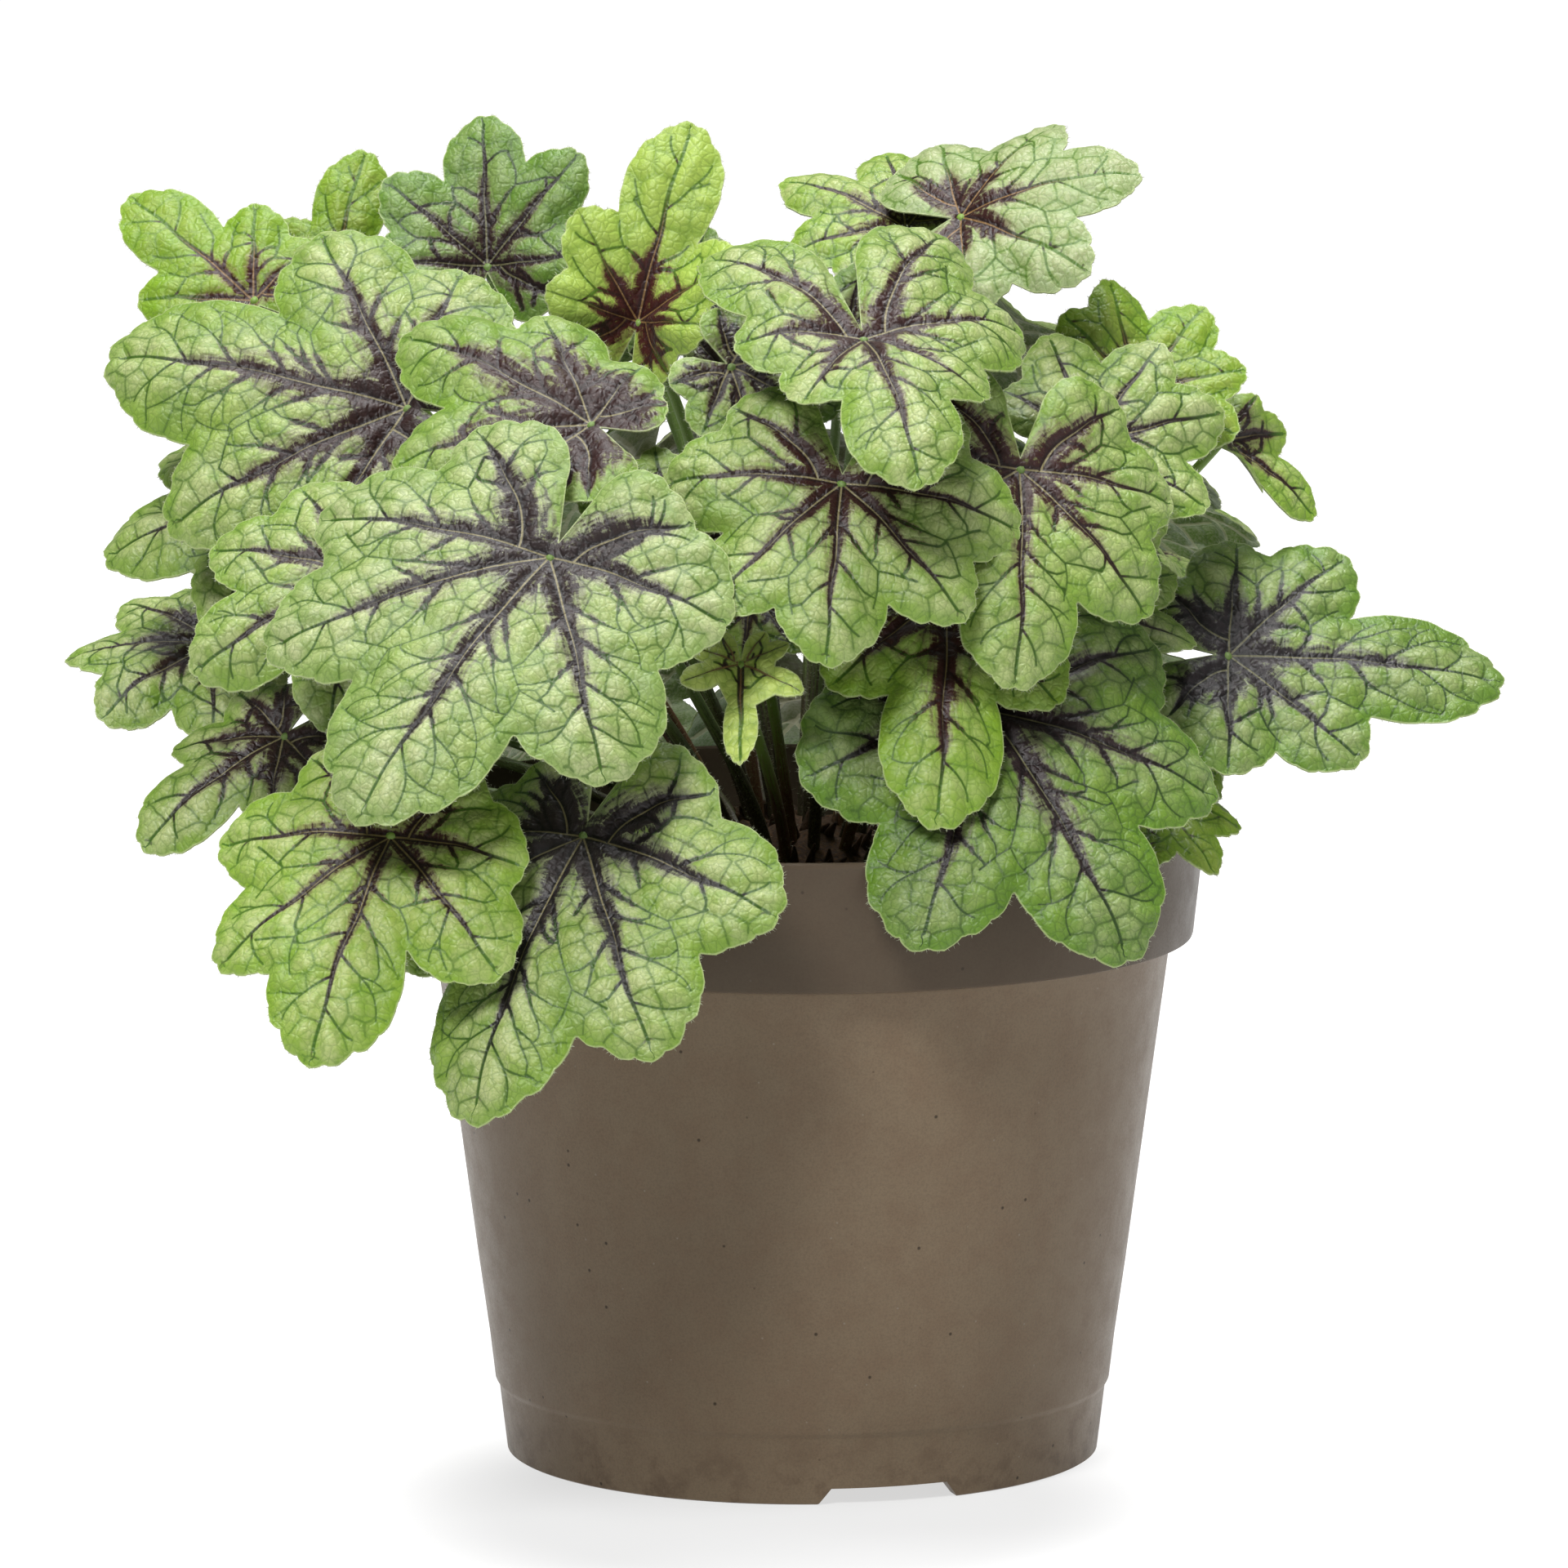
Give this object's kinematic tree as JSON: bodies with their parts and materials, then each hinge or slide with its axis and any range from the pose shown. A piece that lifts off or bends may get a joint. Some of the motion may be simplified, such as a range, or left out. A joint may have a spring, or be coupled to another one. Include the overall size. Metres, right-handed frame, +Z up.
{
  "type": "heuchera plant in a nursery pot",
  "caption": "Bushy potted heuchera with lobed, dark-veined leaves on thin stalks, in soil in a tapered round nursery pot with a collar rim.",
  "frame": {"origin": "centre of the whole object's bounding box at the surface the pot stands on; the pot's axis stands 4.0 mm along +X and -1.2 mm along +Y from it", "axes": "+Z up out of the pot, along the pot's axis; +X towards the long right-hand leaf; -Y towards the side with the large hanging leaves"},
  "size_m": [0.264, 0.2292, 0.2481],
  "materials": {
    "pot": "taupe-brown injection-moulded plastic with a satin sheen and fine dark specks",
    "soil": "moist dark peat compost, crumbly, with fine fibres",
    "crown": "rough brown woody crown with old leaf bases",
    "leaf_mature": "soft satin leaf: pale silvery green between dark green veins, dark purple-brown along the main veins",
    "leaf_light": "soft satin leaf: yellow-green between green veins, brown-purple along the main veins",
    "leaf_young": "thin bright lime leaf with red-brown main veins",
    "leaf_old": "darker grey-green satin leaf with purple-brown main veins"
  },
  "bodies": {
    "root": {"pot": "pot", "soil": "soil", "crown": "crown", "leaf_01": "leaf_mature", "leaf_02": "leaf_mature", "leaf_03": "leaf_mature", "leaf_04": "leaf_mature", "leaf_05": "leaf_light", "leaf_06": "leaf_mature", "leaf_07": "leaf_old", "leaf_08": "leaf_light", "leaf_09": "leaf_young", "leaf_10": "leaf_old", "leaf_11": "leaf_light", "leaf_12": "leaf_young", "leaf_13": "leaf_young", "leaf_14": "leaf_mature", "leaf_15": "leaf_old", "leaf_16": "leaf_mature", "leaf_17": "leaf_young", "leaf_18": "leaf_mature", "leaf_19": "leaf_young", "leaf_20": "leaf_mature", "leaf_21": "leaf_mature", "leaf_22": "leaf_mature", "leaf_23": "leaf_mature", "leaf_24": "leaf_light", "leaf_25": "leaf_old", "leaf_26": "leaf_old", "leaf_27": "leaf_mature", "leaf_28": "leaf_young", "leaf_29": "leaf_mature", "leaf_30": "leaf_light", "leaf_31": "leaf_mature", "leaf_32": "leaf_young", "leaf_33": "leaf_mature", "leaf_34": "leaf_mature", "leaf_35": "leaf_old", "leaf_36": "leaf_mature", "leaf_37": "leaf_old", "leaf_38": "leaf_mature", "leaf_39": "leaf_old", "leaf_40": "leaf_mature", "leaf_41": "leaf_old", "leaf_42": "leaf_mature", "leaf_43": "leaf_old", "leaf_44": "leaf_mature"}
  },
  "joints": []
}
